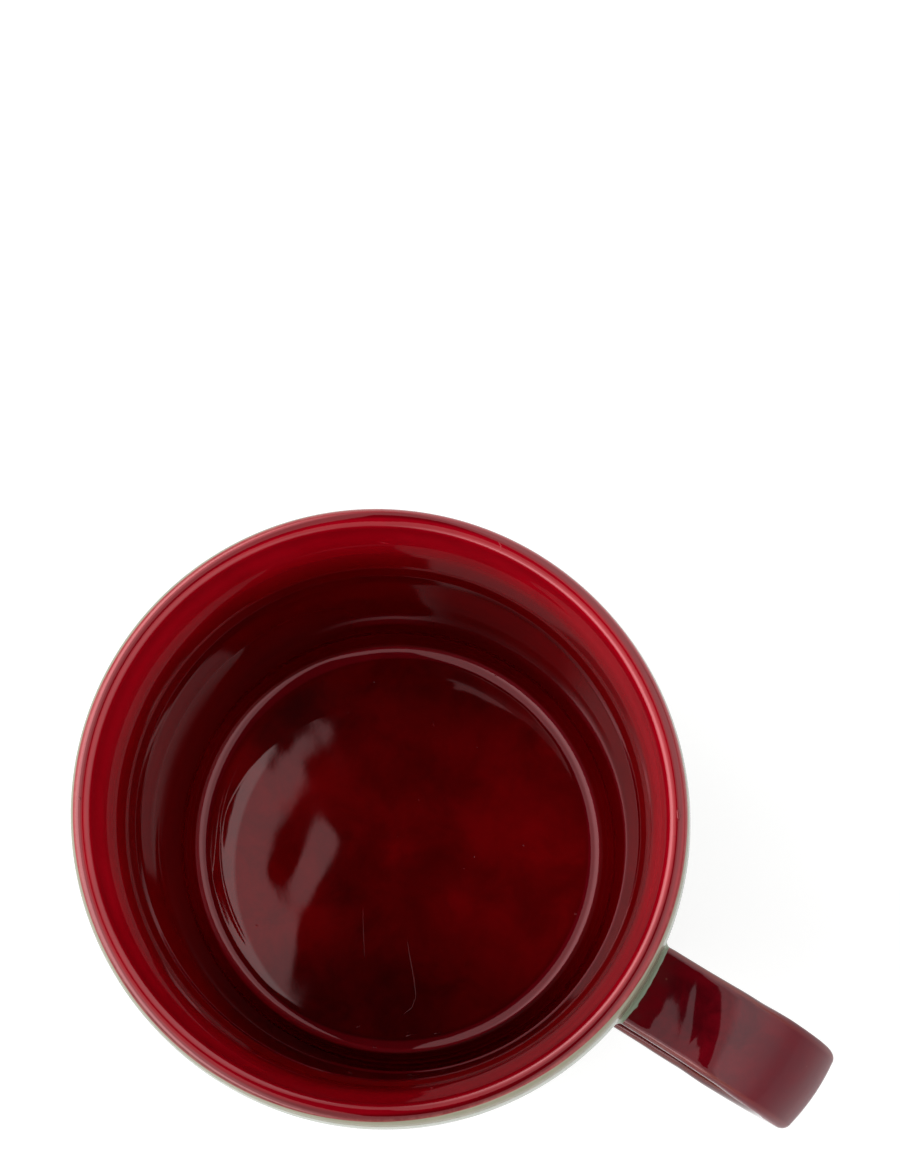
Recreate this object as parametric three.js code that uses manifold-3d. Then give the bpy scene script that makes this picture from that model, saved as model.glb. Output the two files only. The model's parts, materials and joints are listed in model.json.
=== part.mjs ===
// A glazed ceramic mug: a round clay bowl on a turned foot ring, and a flat strap of clay bent into a handle.
// The strap is luted to the bowl with slip at two roots. A red liner glaze covers the inside and the lip, a sage
// green glaze covers the outside and runs onto the roots, and the foot ring is bare clay.
//
// Millimetres, +Z up. The mug stands on z = 0 and the handle points along +X. The origin lies on the standing
// plane, under the middle of the whole outline, bowl and handle together.

import * as THREE from 'three';
import { mergeVertices } from 'three/addons/utils/BufferGeometryUtils.js';
import Module from 'manifold-3d';

const wasm = await Module();
wasm.setup();

// Bowl
const height = 96;
const bodyRadius = 46;
const wallThickness = 5.6;
const floorThickness = 5.5;
const floorCornerRadius = 6.6;
const shoulderDepth = 27;

// Lip, whose round top the wall thins to
const lipRadius = 1.5;
const lipSetback = 0.8;
const lipLean = THREE.MathUtils.degToRad(12);
const lipTaperDepth = 9;

// Foot ring and the turned corner above it
const footHeight = 2.6;
const footRadius = 35;
const footWidth = 4.2;
const footEdgeRadius = 0.9;
const baseCornerRadius = 8;
const bareFootBand = 1.5;

// Glaze coats, and the gap that separate pieces keep
const glazeThickness = 0.5;
const clearance = 0.3;

// Handle: a strap that rises a little from its upper root, turns down and runs back to its lower root
const strapWidth = 13.8;
const strapThickness = 5.8;
const strapEdgeRadius = 2.1;
const strapCrown = 0.5;
const handleReach = 33;
const upperRootDepth = 14.5;
const lowerRootHeight = 23;
const crestOut = 11;
const crestRise = 1.1;
const bendDrop = 23;
const lowerRootSlope = THREE.MathUtils.degToRad(14);

// Slip fillets round the handle's roots
const filletReach = 3.2;
const filletRadius = 3;

// Shares of a stretch of the handle that its tangents take at either end
const rootTangentShare = 0.4;
const crestTangentShare = 0.62;
const bendTangentShare = 0.58;

// Fineness of the round surfaces
const turnSteps = 64;
const arcSteps = 3;
const strapSteps = 40;
const filletSteps = 5;
const edgeSteps = 2;
const weldDistance = 1e-4;

// Levels and radii that follow
const innerRadius = bodyRadius - wallThickness;
const floorLevel = footHeight + floorThickness;
const floorFlatRadius = innerRadius - floorCornerRadius;
const shoulderLevel = height - shoulderDepth;
const lipLevel = height - lipRadius;
const lipMiddleRadius = bodyRadius - lipSetback - lipRadius;
const clayInset = glazeThickness + clearance;
const glazedTurn = Math.PI / 2 - bareFootBand / baseCornerRadius;

// Finishes
const finishes = {
  clay: { color: 0xd9cdb9, roughness: 0.85, metalness: 0 },
  redGlaze: { color: 0x8c0613, roughness: 0.12, metalness: 0 },
  handleGlaze: { color: 0x6a0a12, roughness: 0.14, metalness: 0 },
  greenGlaze: { color: 0x93997c, roughness: 0.3, metalness: 0 },
};

// The finished surface from the middle of the floor, up the inside and over the lip to where the red glaze ends.
function linerPoints() {
  const end = lipLean + clearance / lipRadius;
  const path = new THREE.Path();
  path.moveTo(0, floorLevel);
  path.lineTo(floorFlatRadius, floorLevel);
  path.absarc(floorFlatRadius, floorLevel + floorCornerRadius, floorCornerRadius, -Math.PI / 2, 0, false);
  path.lineTo(innerRadius, shoulderLevel);
  path.lineTo(lipMiddleRadius - lipRadius, lipLevel);
  path.absarc(lipMiddleRadius, lipLevel, lipRadius, Math.PI, end, true);
  return withoutRepeats(path.getPoints(arcSteps));
}

// The finished surface from the end of the red glaze, down the outside and round a turn of the bottom corner.
function outsidePoints(turn) {
  const top = new THREE.Vector2(Math.cos(lipLean), Math.sin(lipLean)).multiplyScalar(lipRadius);
  top.add(new THREE.Vector2(lipMiddleRadius, lipLevel));
  const bend = top.y - (bodyRadius - top.x) / Math.tan(lipLean);
  const cornerRadius = bodyRadius - baseCornerRadius;
  const cornerLevel = footHeight + baseCornerRadius;
  const path = new THREE.Path();
  path.moveTo(top.x, top.y);
  path.quadraticCurveTo(bodyRadius, bend, bodyRadius, Math.min(bend, height - lipTaperDepth));
  path.lineTo(bodyRadius, cornerLevel);
  path.absarc(cornerRadius, cornerLevel, baseCornerRadius, 0, -turn, true);
  return withoutRepeats(path.getPoints(arcSteps));
}

// The clay's underside, from the end of the corner over the foot ring to the middle of the recess.
function undersidePoints() {
  const outer = footRadius;
  const inner = footRadius - footWidth;
  const path = new THREE.Path();
  path.moveTo(bodyRadius - baseCornerRadius, footHeight + clayInset);
  path.lineTo(outer, footHeight + clayInset);
  path.lineTo(outer, footEdgeRadius);
  path.absarc(outer - footEdgeRadius, footEdgeRadius, footEdgeRadius, 0, -Math.PI / 2, true);
  path.lineTo(inner + footEdgeRadius, 0);
  path.absarc(inner + footEdgeRadius, footEdgeRadius, footEdgeRadius, -Math.PI / 2, -Math.PI, true);
  path.lineTo(inner, footHeight);
  path.lineTo(0, footHeight);
  return withoutRepeats(path.getPoints(1));
}

function withoutRepeats(points) {
  return points.filter((point, i) => i === 0 || point.distanceTo(points[i - 1]) > weldDistance);
}

// The same line, moved by a distance towards the clay, which lies on its right as the points run.
function sunk(points, distance) {
  return points.map((point, i) => {
    const before = points[Math.max(i - 1, 0)];
    const after = points[Math.min(i + 1, points.length - 1)];
    const into = unitRight(before, point).add(unitRight(point, after)).normalize();
    const reach = distance / Math.max(into.dot(unitRight(before, point)), into.dot(unitRight(point, after)));
    const moved = point.clone().addScaledVector(into, reach);
    return point.x === 0 ? moved.setX(0) : moved;
  });
}

function unitRight(from, to) {
  const along = to.clone().sub(from);
  return new THREE.Vector2(along.y, -along.x).normalize();
}

// An outline in radius and height, with the solid on its right, turned about the mug's axis.
function turned(points) {
  const meetsAxis = points[0].x === 0 && points.at(-1).x === 0;
  const closed = meetsAxis ? points : [...points, points[0]];
  return toSolid(new THREE.LatheGeometry(closed.reverse(), turnSteps).rotateX(Math.PI / 2));
}

// A coat of glaze over a stretch of the finished surface, down to the clearance over the clay.
function coat(finished, from, to) {
  const inner = sunk(finished, glazeThickness);
  return turned([...finished.slice(from, to), ...inner.slice(from, to).reverse()]);
}

// The clay bowl lies under both coats, and reaches the standing plane at its foot ring.
function clayBowl() {
  const covered = sunk([...linerPoints(), ...outsidePoints(Math.PI / 2)], clayInset);
  return turned([...covered, ...undersidePoints()]);
}

// Everything within the outer coat's clay side, filled to the axis, which cuts back what meets the bowl's clay.
function bowlFilled() {
  const outside = sunk(outsidePoints(glazedTurn), glazeThickness);
  const top = new THREE.Vector2(0, outside[0].y);
  const foot = new THREE.Vector2(0, outside.at(-1).y);
  return turned([top, ...outside, foot]);
}

// The handle's middle line, in radius from the bowl's axis and height.
function handleLine() {
  const bendRadius = bodyRadius + handleReach - strapThickness / 2;
  const root = new THREE.Vector2(innerRadius, height - upperRootDepth);
  const crest = new THREE.Vector2(bodyRadius + crestOut, root.y + crestRise);
  const bend = new THREE.Vector2(bendRadius, crest.y - bendDrop);
  const foot = new THREE.Vector2(innerRadius, lowerRootHeight - wallThickness * Math.tan(lowerRootSlope));
  const inward = new THREE.Vector2(Math.cos(lowerRootSlope), Math.sin(lowerRootSlope));
  const out = crest.x - root.x;
  const down = bend.y - foot.y;
  const line = new THREE.Path();
  line.moveTo(root.x, root.y);
  line.bezierCurveTo(
    root.x + out * rootTangentShare, root.y,
    crest.x - out * rootTangentShare, crest.y,
    crest.x, crest.y);
  line.bezierCurveTo(
    crest.x + (bend.x - crest.x) * crestTangentShare, crest.y,
    bend.x, bend.y + bendDrop * bendTangentShare,
    bend.x, bend.y);
  const run = (bend.x - foot.x) * crestTangentShare;
  line.bezierCurveTo(
    bend.x, bend.y - down * bendTangentShare,
    foot.x + inward.x * run, foot.y + inward.y * run,
    foot.x, foot.y);
  return line;
}

// The strap's section: flat sides, round edges and a slightly crowned outer face. x runs across the strap and
// y towards the outside of the loop.
function strapSection(grown) {
  const half = strapWidth / 2 + grown;
  const deep = strapThickness / 2 + grown;
  const edge = strapEdgeRadius + grown;
  const shape = new THREE.Shape();
  shape.absarc(half - edge, deep - strapCrown - edge, edge, 0, Math.PI / 2, false);
  shape.quadraticCurveTo(0, deep + strapCrown, edge - half, deep - strapCrown);
  shape.absarc(edge - half, deep - strapCrown - edge, edge, Math.PI / 2, Math.PI, false);
  shape.absarc(edge - half, edge - deep, edge, Math.PI, Math.PI * 3 / 2, false);
  shape.absarc(half - edge, edge - deep, edge, Math.PI * 3 / 2, Math.PI * 2, false);
  return withoutRepeats(shape.getPoints(edgeSteps));
}

// A closed solid through one ring of points for each place along the handle's line. growth gives how much the
// strap's section is grown at that place.
function swept(line, places, growth) {
  const rings = places.map((place) => {
    const middle = line.getPointAt(place);
    const along = line.getTangentAt(place);
    return strapSection(growth(place)).map(({ x, y }) => [middle.x - along.y * y, x, middle.y + along.x * y]);
  });
  const count = rings[0].length;
  const index = [];
  for (let ring = 0; ring + 1 < rings.length; ring += 1) {
    for (let i = 0; i < count; i += 1) {
      const a = ring * count + i;
      const b = ring * count + (i + 1) % count;
      index.push(a, b, b + count, a, b + count, a + count);
    }
  }
  const last = (rings.length - 1) * count;
  for (let i = 1; i + 1 < count; i += 1) {
    index.push(0, i + 1, i, last, last + i, last + i + 1);
  }
  const geometry = new THREE.BufferGeometry();
  geometry.setAttribute('position', new THREE.Float32BufferAttribute(rings.flat(2), 3));
  geometry.setIndex(index);
  return toSolid(geometry);
}

function strap(grown) {
  const places = Array.from({ length: strapSteps + 1 }, (_, i) => i / strapSteps);
  return swept(handleLine(), places, () => grown);
}

// A concave fillet round one root: widest inside the wall and gone at its reach beyond the wall.
function rootFillet(isUpper, grown) {
  const line = handleLine();
  const start = wallThickness / line.getLength();
  const end = (wallThickness + filletReach) / line.getLength();
  const places = [0, ...Array.from({ length: filletSteps + 1 }, (_, i) => start + (end - start) * i / filletSteps)];
  const growth = (place) => {
    const gone = Math.min(Math.max((place - start) / (end - start), 0), 1);
    const flare = filletRadius * (1 - Math.sqrt(1 - (1 - gone) ** 2));
    return clearance + glazeThickness + flare + grown;
  };
  if (isUpper) {
    return swept(line, places, growth);
  }
  const fromFoot = places.map((place) => 1 - place).reverse();
  return swept(line, fromFoot, (place) => growth(1 - place));
}

function toSolid(geometry) {
  const bare = geometry.clone();
  bare.deleteAttribute('normal');
  bare.deleteAttribute('uv');
  const merged = mergeVertices(bare, weldDistance);
  const triVerts = new Uint32Array(merged.index.array);
  const vertProperties = new Float32Array(merged.attributes.position.array);
  return new wasm.Manifold(new wasm.Mesh({ numProp: 3, vertProperties, triVerts }));
}

function toGeometry(solid) {
  const { vertProperties, triVerts, numProp } = solid.getMesh();
  const geometry = new THREE.BufferGeometry();
  const positions = new THREE.InterleavedBuffer(vertProperties, numProp);
  geometry.setAttribute('position', new THREE.InterleavedBufferAttribute(positions, 3, 0));
  geometry.setIndex(new THREE.BufferAttribute(triVerts, 1));
  geometry.computeVertexNormals();
  return geometry;
}

const mug = new THREE.Group();
mug.position.x = -handleReach / 2;

function addPiece(name, solid, finish) {
  const mesh = new THREE.Mesh(toGeometry(solid), new THREE.MeshStandardMaterial(finish));
  mesh.name = name;
  mug.add(mesh);
}

const filled = bowlFilled();
const redPoints = linerPoints();
const finished = [...redPoints, ...outsidePoints(glazedTurn)];
const openForRoots = coat(finished, redPoints.length)
  .subtract(rootFillet(true, clearance))
  .subtract(rootFillet(false, clearance));

addPiece('cup_body', clayBowl(), finishes.clay);
addPiece('liner_glaze', coat(finished, 0, redPoints.length), finishes.redGlaze);
addPiece('outer_glaze', openForRoots, finishes.greenGlaze);
addPiece('handle', strap(0).subtract(filled), finishes.handleGlaze);
for (const [name, isUpper] of [['upper_root_slip', true], ['lower_root_slip', false]]) {
  const around = rootFillet(isUpper, 0).subtract(strap(clearance)).subtract(filled);
  addPiece(name, around, finishes.greenGlaze);
}

const part = new THREE.Group();
part.add(mug);

export default part;
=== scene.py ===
# %% [markdown]
# # Dressing a glazed mug
#
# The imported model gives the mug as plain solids: the clay bowl, a red glaze inside, a green glaze outside,
# a strap handle, and the slip that holds its two roots. This lesson keeps their places and sizes, and
# builds the surfaces that the eye sees: the soft lip, the thrown wall, the pooled glaze and the worn foot.
# Each piece is worked out in millimetres about the bowl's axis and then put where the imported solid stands.

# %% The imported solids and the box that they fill
import json
import math

import bmesh
import bpy
import numpy as np
from mathutils import Matrix, Vector, noise
from mathutils.bvhtree import BVHTree

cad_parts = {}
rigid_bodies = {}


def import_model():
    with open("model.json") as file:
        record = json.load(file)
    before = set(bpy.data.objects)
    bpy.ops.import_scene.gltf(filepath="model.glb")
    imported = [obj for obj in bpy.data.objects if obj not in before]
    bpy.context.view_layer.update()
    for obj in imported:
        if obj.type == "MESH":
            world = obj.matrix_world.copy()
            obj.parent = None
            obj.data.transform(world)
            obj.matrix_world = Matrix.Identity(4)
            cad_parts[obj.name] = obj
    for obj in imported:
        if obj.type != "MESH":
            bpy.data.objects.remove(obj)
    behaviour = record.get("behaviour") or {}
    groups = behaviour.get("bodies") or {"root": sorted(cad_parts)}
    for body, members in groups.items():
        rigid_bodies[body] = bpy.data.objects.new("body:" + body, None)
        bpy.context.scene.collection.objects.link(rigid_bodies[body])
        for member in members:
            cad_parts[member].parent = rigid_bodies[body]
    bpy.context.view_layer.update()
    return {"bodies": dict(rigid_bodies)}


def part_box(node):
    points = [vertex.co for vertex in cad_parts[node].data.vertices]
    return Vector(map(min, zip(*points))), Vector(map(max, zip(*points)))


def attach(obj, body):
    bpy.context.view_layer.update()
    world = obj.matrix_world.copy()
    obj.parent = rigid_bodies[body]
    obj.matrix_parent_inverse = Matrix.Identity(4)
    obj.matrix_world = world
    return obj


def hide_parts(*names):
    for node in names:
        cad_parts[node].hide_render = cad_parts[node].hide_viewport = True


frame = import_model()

mug_body = next(iter(frame["bodies"]))

# %% [markdown]
# The bowl's axis isn't at the frame's origin: the outline with the handle is what stands about the origin,
# so the bowl is set back by half of the handle's reach. The green coat's own box is a check on that.

# %% Sizes that the solids were drawn from, in millimetres
MM = 0.001
HEIGHT = 96.0
BODY_RADIUS = 46.0
WALL = 5.6
FOOT_HEIGHT = 2.6
FOOT_RADIUS = 35.0
FOOT_WIDTH = 4.2
BASE_CORNER = 8.0
LIP_RADIUS = 1.5
LIP_SETBACK = 0.8
LIP_LEAN = math.radians(12)
GLAZE = 0.5
HANDLE_REACH = 33.0
AXIS = Vector((-HANDLE_REACH / 2, 0, 0))

LIP_MIDDLE = BODY_RADIUS - LIP_SETBACK - LIP_RADIUS
CREST_IN = 0.35
bowl_low, bowl_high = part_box("outer_glaze")
print("bowl axis at x", AXIS.x, "mm; the green coat's own middle is at", (bowl_low.x + bowl_high.x) / 2 / MM)

# %% [markdown]
# ## The camera
#
# The photograph looks down into the mug from a little to one side. Its upright lines run together at one
# pixel, straight below the lens, so that pixel gives the tilt. The middle of the rim gives the direction of
# the mug, the handle's direction in the picture gives the turn, and the rim's size gives the focal length
# once a distance is chosen. All were read from the photograph first. The pixel under the lens, the rim and
# the distance were then refined, until the reflections that the glaze should show fell where the photograph
# has them. The distance, about a third of a metre above the rim, is the least certain of these.

# %% A camera from four things seen in the photograph
FRAME_WIDTH, FRAME_HEIGHT = 900, 1176
FOCAL_PIXELS = 2306.0
PLUMB_PIXEL = (472.0, 991.0)
RIM_PIXEL = (378.8, 809.6)
HANDLE_TURN = math.radians(31.7)
LENS_OVER_RIM = 336.5


def line_of_sight(x, y):
    """The direction from the lens through a pixel, in the camera's own axes."""
    return Vector((x - FRAME_WIDTH / 2, FRAME_HEIGHT / 2 - y, -FOCAL_PIXELS)).normalized()


plumb = line_of_sight(*PLUMB_PIXEL)
to_rim = line_of_sight(*RIM_PIXEL)
rim_middle = to_rim * (LENS_OVER_RIM / to_rim.dot(plumb))
along_handle = line_of_sight(RIM_PIXEL[0] + math.cos(HANDLE_TURN), RIM_PIXEL[1] + math.sin(HANDLE_TURN))
east = to_rim.cross(along_handle).cross(plumb).normalized()
east = east if east.dot(along_handle - to_rim) > 0 else -east
up = -plumb
turn = Matrix((east, up.cross(east), up))

camera_data = bpy.data.cameras.new("photo_camera")
camera_data.sensor_width = 36
camera_data.lens = camera_data.sensor_width * FOCAL_PIXELS / max(FRAME_WIDTH, FRAME_HEIGHT)
camera_data.clip_start = 0.01
camera = bpy.data.objects.new("photo_camera", camera_data)
bpy.context.scene.collection.objects.link(camera)
stand = AXIS + Vector((0, 0, HEIGHT)) - turn @ rim_middle
camera.matrix_world = Matrix.Translation(stand * MM) @ turn.to_4x4()
bpy.context.scene.camera = camera
picture_right = turn @ Vector((1, 0, 0))
picture_right = Vector((picture_right.x, picture_right.y, 0)).normalized()
picture_up = Vector((-picture_right.y, picture_right.x, 0))
print("camera", [round(v, 1) for v in stand], "mm, lens", round(camera_data.lens, 1), "mm")

# %% [markdown]
# ## Writing shader maths
#
# A finish here is mostly arithmetic on a few textures. Wiring Math nodes by hand hides that arithmetic, so
# a small class wraps a node's output and turns Python's operators into nodes. Anything that isn't
# arithmetic comes from one method that takes the node's type, its settings and what goes into its sockets.

# %% A wire that can be added and multiplied
def both_ways(operation):
    """An operator and its reflected form, for when the wire stands on the right."""
    return (lambda wire, other: wire._math(operation, wire, other),
            lambda wire, other: wire._math(operation, other, wire))


class Wire:
    """The output of a shader node. Arithmetic on it adds the nodes that do it."""

    def __init__(self, socket):
        self.socket = socket
        self.tree = socket.node.id_data

    def _is_vector(self):
        return self.socket.type == "VECTOR"

    def _math(self, operation, *values):
        kind = "ShaderNodeVectorMath" if self._is_vector() else "ShaderNodeMath"
        node = self.tree.nodes.new(kind)
        node.operation = operation
        for slot, value in zip(node.inputs, values):
            if isinstance(value, Wire):
                self.tree.links.new(value.socket, slot)
            elif self._is_vector() and not hasattr(value, "__len__"):
                slot.default_value = (value, value, value)
            else:
                slot.default_value = value
        return Wire(node.outputs[0])

    __add__, __radd__ = both_ways("ADD")
    __sub__, __rsub__ = both_ways("SUBTRACT")
    __mul__, __rmul__ = both_ways("MULTIPLY")
    __truediv__, __rtruediv__ = both_ways("DIVIDE")
    __pow__, __rpow__ = both_ways("POWER")

    def __neg__(self):
        return self._math("MULTIPLY", self, -1)

    def larger(self, other):
        return self._math("MAXIMUM", self, other)

    def smaller(self, other):
        return self._math("MINIMUM", self, other)


# %% A tree of nodes that is built by naming what is wanted
class Nodes:
    def __init__(self, tree, place):
        self.tree = tree
        self.place = self.node("ShaderNodeTexCoord", out=place)

    def node(self, kind, settings=None, out=0, **sockets):
        """One output of a new node. Its settings are set first, then a ramp's stops, then its sockets."""
        made = self.tree.nodes.new(kind)
        for key, value in (settings or {}).items():
            if key == "stops":
                self._set_stops(made.color_ramp, value)
            else:
                setattr(made, key, value)
        for key, value in sockets.items():
            name = key.replace("_", " ").strip()
            self.join(made.inputs[int(name)] if name.isdigit() else made.inputs[name], value)
        return Wire(made.outputs[out])

    @staticmethod
    def _set_stops(ramp, stops):
        while len(ramp.elements) < len(stops):
            ramp.elements.new(1)
        for element, (position, value) in zip(ramp.elements, stops):
            element.position = position
            element.color = (value, value, value, 1)

    def join(self, slot, value):
        """Links a wire to a socket, or sets a plain value on it."""
        if isinstance(value, Wire):
            self.tree.links.new(value.socket, slot)
        elif slot.type == "RGBA" and len(value) == 3:
            slot.default_value = (*value, 1)
        else:
            slot.default_value = value

    def axis(self, letter, place=None):
        """One coordinate of a place."""
        return self.node("ShaderNodeSeparateXYZ", out=letter, Vector=place or self.place)

    def toward(self, direction, place=None):
        """How far a place lies along a direction."""
        return self.node("ShaderNodeVectorMath", {"operation": "DOT_PRODUCT"}, out="Value",
                         _0=place or self.place, _1=tuple(direction))

    def length(self, vector):
        return self.node("ShaderNodeVectorMath", {"operation": "LENGTH"}, out="Value", _0=vector)

    def rise(self, value, low, high):
        """0 where the value is under low and 1 where it is over high, with a smooth step between."""
        return self.node("ShaderNodeMapRange", {"interpolation_type": "SMOOTHSTEP"},
                         Value=value, From_Min=low, From_Max=high)

    def within(self, value, low, high, soft):
        """1 where the value is between low and high, and 0 outside, with soft ends."""
        return (self.rise(value, low - soft / 2, low + soft / 2)
                * (1 - self.rise(value, high - soft / 2, high + soft / 2)))

    def between(self, share, first, second):
        """A colour that goes from the first to the second as the share goes from 0 to 1."""
        mix = self.tree.nodes.new("ShaderNodeMix")
        mix.data_type = "RGBA"
        colours = [slot for slot in mix.inputs if slot.type == "RGBA"]
        for slot, value in zip([mix.inputs["Factor"], *colours], (share, first, second)):
            self.join(slot, value)
        return Wire(next(slot for slot in mix.outputs if slot.type == "RGBA"))

    def shaded(self, colour, amount):
        """A colour made darker or lighter by a factor that varies."""
        return self.node("ShaderNodeVectorMath", {"operation": "SCALE"}, _0=colour, Scale=amount)

    def seen(self):
        """1 for what is seen directly, in a gloss or through glass; 0 for light that falls on things."""
        rays = [self.node("ShaderNodeLightPath", out=f"Is {kind} Ray")
                for kind in ("Camera", "Glossy", "Transmission")]
        return rays[0].larger(rays[1]).larger(rays[2])


# %% A finish is one Principled shader and what feeds it
class Finish(Nodes):
    def __init__(self, name, **fixed):
        self.material = bpy.data.materials.new(name)
        self.material.use_nodes = True
        super().__init__(self.material.node_tree, "Object")
        self.shader = self.tree.nodes["Principled BSDF"]
        for socket, value in fixed.items():
            self.join(self.shader.inputs[socket.replace("_", " ")], value)

    def on(self, *things):
        for thing in things:
            thing.data.materials.append(self.material)

    def feed(self, **wires):
        for socket, wire in wires.items():
            self.join(self.shader.inputs[socket.replace("_", " ")], wire)

    def tint(self, share, colour):
        """Takes the tone so far towards a colour, by a share."""
        self.tone = self.between(share, self.tone, colour)

    def shade(self, amount):
        self.tone = self.shaded(self.tone, amount)

    def dull(self, share, **sockets):
        """Mixes in a second, duller shader, by a share that varies."""
        shader = self.tree.nodes.new("ShaderNodeBsdfPrincipled")
        for socket, value in sockets.items():
            self.join(shader.inputs[socket.replace("_", " ")], value)
        first, second = Wire(self.shader.outputs[0]), Wire(shader.outputs[0])
        both = self.node("ShaderNodeMixShader", Fac=share, _1=first, _2=second)
        self.join(self.tree.nodes["Material Output"].inputs["Surface"], both)

    def from_axis(self):
        """The place, measured in millimetres from the bowl's axis."""
        return (self.place - tuple(AXIS * MM)) / MM

    def cloud(self, size, detail=3.0, roughness=0.5, seed=0.0, stretch=None, warp=0.0):
        """Soft noise from 0 to 1 whose patches are about that many millimetres across."""
        place = self.place if stretch is None else self.place * stretch
        return self.node("ShaderNodeTexNoise", {"noise_dimensions": "4D"}, Vector=place, W=seed,
                         Scale=1 / (size * MM), Detail=detail, Roughness=roughness, Distortion=warp)

    def dots(self, spacing, size, seed=0.0):
        """Small round spots: 1 at a spot's middle and 0 away from it, one to each cell of the spacing."""
        shift = self.place + (seed, seed * 0.7, seed * 0.3)
        distance = self.node("ShaderNodeTexVoronoi", {"feature": "F1"}, out="Distance",
                             Vector=shift, Scale=1 / (spacing * MM), Randomness=1.0)
        return 1 - self.rise(distance, 0.0, size / spacing)

    def gathered(self, spacing, size, seed, patch, patch_seed, low=0.45, high=0.6):
        """Spots that come only where a slower noise is high, so that they gather in patches."""
        return self.dots(spacing, size, seed=seed) * self.rise(self.cloud(patch, seed=patch_seed), low, high)

    def dimpled(self, height, depth, normal=None):
        """A bump from a height that runs from 0 to 1 and stands for that many millimetres."""
        sockets = {"Height": height, "Distance": depth * MM, "Strength": 1.0}
        if normal is not None:
            sockets["Normal"] = normal
        return self.node("ShaderNodeBump", **sockets)


print("shader maths ready")

# %% [markdown]
# ## Floor and light
#
# A small glossy thing shows the room in its glaze, so the room matters more than the lamps. The photograph
# shows pale walls all round, a brighter side to the left, and a dark slot straight overhead, where the
# camera hangs between its soft panels. The slot could be a black card over the mug, but a card at any real
# height shifts in the glaze from one point to the next and blocks views from below. Painting the slot into
# the world, by the direction that light comes from, gives the same dark leaf shapes with nothing in the
# way.
#
# Only mirrored rays see the slot and the panels, which step up from overhead to the side, and two low
# windows beside them. The light that falls on things comes from an even room. The places and levels were
# found by matching the photograph's reflections, so they tell what the glaze shows and not how the real
# room looked.

# %% The pale room, with a dark slot overhead
scene = bpy.context.scene
scene.view_settings.view_transform = "Standard"

ROOM_LIGHT = 0.68
LEFT_LEVEL, LEFT_STEPS = 0.85, [(0.42, 1.9), (0.95, 4.6)]
RIGHT_LEVEL, RIGHT_STEPS = 0.88, [(0.45, 1.5)]
PANEL_SOFT = 0.15
LOW_LEVEL, LOW_WINDOWS = 0.5, [(-1.0, 0.0, 1.4), (0.5, 0.85, 0.8)]
LOW_WINDOW_EDGE = (0.86, 0.94)
PANELS_FULL = 0.42
SLOT_LEFT, SLOT_RIGHT = 0.075, 0.200
SLOT_NEAR, SLOT_FAR = 0.48, 1.15
SLOT_SOFT, SLOT_END_SOFT = 0.009, 0.063
SLOT_DARK = 0.99

world = bpy.data.worlds.new("pale_room")
world.use_nodes = True
scene.world = world
room = Nodes(world.node_tree, "Generated")
steep = room.axis("Z")
to_right = room.toward(picture_right) / steep.larger(0.02)
to_top = room.toward(picture_up) / steep.larger(0.02)
slot = (room.within(to_right, -SLOT_LEFT, SLOT_RIGHT, SLOT_SOFT)
        * room.within(to_top, -SLOT_NEAR, SLOT_FAR, SLOT_END_SOFT) * room.rise(steep, 0.0, 0.1))


def stepped(value, total, steps):
    """A level that changes softly at some places. Each step gives a place and the level after it."""
    before = total
    for place, after in steps:
        total = total + (after - before) * room.rise(value, place - PANEL_SOFT, place + PANEL_SOFT)
        before = after
    return total


left_side = stepped(-to_right, LEFT_LEVEL, LEFT_STEPS)
right_side = stepped(to_right, RIGHT_LEVEL, RIGHT_STEPS)
side = left_side + (right_side - left_side) * room.rise(to_right, -0.05, 0.15)
low = LOW_LEVEL
for across, upward, gain in LOW_WINDOWS:
    way = (picture_right * across + picture_up * upward).normalized()
    low = low + gain * room.rise(room.toward(way), *LOW_WINDOW_EDGE)
mirrored = low + (side - low) * room.rise(steep, 0.0, PANELS_FULL)
strength = ROOM_LIGHT + (mirrored - ROOM_LIGHT) * room.seen()
strength = strength * (1 - slot * SLOT_DARK)
strength = strength + (1 - strength) * room.node("ShaderNodeLightPath", out="Is Camera Ray")
background = room.tree.nodes["Background"]
room.join(background.inputs["Color"], (1, 1, 1, 1))
room.join(background.inputs["Strength"], strength)
print("the slot runs from", -SLOT_LEFT, "to", SLOT_RIGHT, "left to right, as shares of its height")

# %% [markdown]
# The room's level is a little under that of plain daylight, and one wide panel on the left makes up the
# rest. It gives the bowl a bright side and the floor a soft shadow. Its radiance and its share of the sky
# are what matter, so its power follows from its size.

# %% The window side
WINDOW_LEVEL = 2.0
WINDOW_DISTANCE = 2.5
WINDOW_WIDTH, WINDOW_HEIGHT = 3.0, 1.6
WINDOW_TILT = math.radians(46)
pane = bpy.data.lights.new("window_panel", "AREA")
pane.shape = "RECTANGLE"
pane.size, pane.size_y = WINDOW_WIDTH, WINDOW_HEIGHT
pane.energy = WINDOW_LEVEL * math.pi * WINDOW_WIDTH * WINDOW_HEIGHT
window = bpy.data.objects.new("window_panel", pane)
outward = -picture_right * math.sin(WINDOW_TILT) + Vector((0, 0, 1)) * math.cos(WINDOW_TILT)
facing = outward.to_track_quat("Z", "Y").to_matrix().to_4x4()
window.matrix_world = Matrix.Translation(outward * WINDOW_DISTANCE) @ facing
window.visible_camera = False
window.visible_glossy = False
scene.collection.objects.link(window)
print("window panel", WINDOW_WIDTH, "by", WINDOW_HEIGHT, "m")

# %% [markdown]
# The floor is white paper. Where the camera or a gloss looks at it, it also glows a little, so that it
# reads as the white page of the photograph, and the soft shadow under the mug stays.

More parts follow.
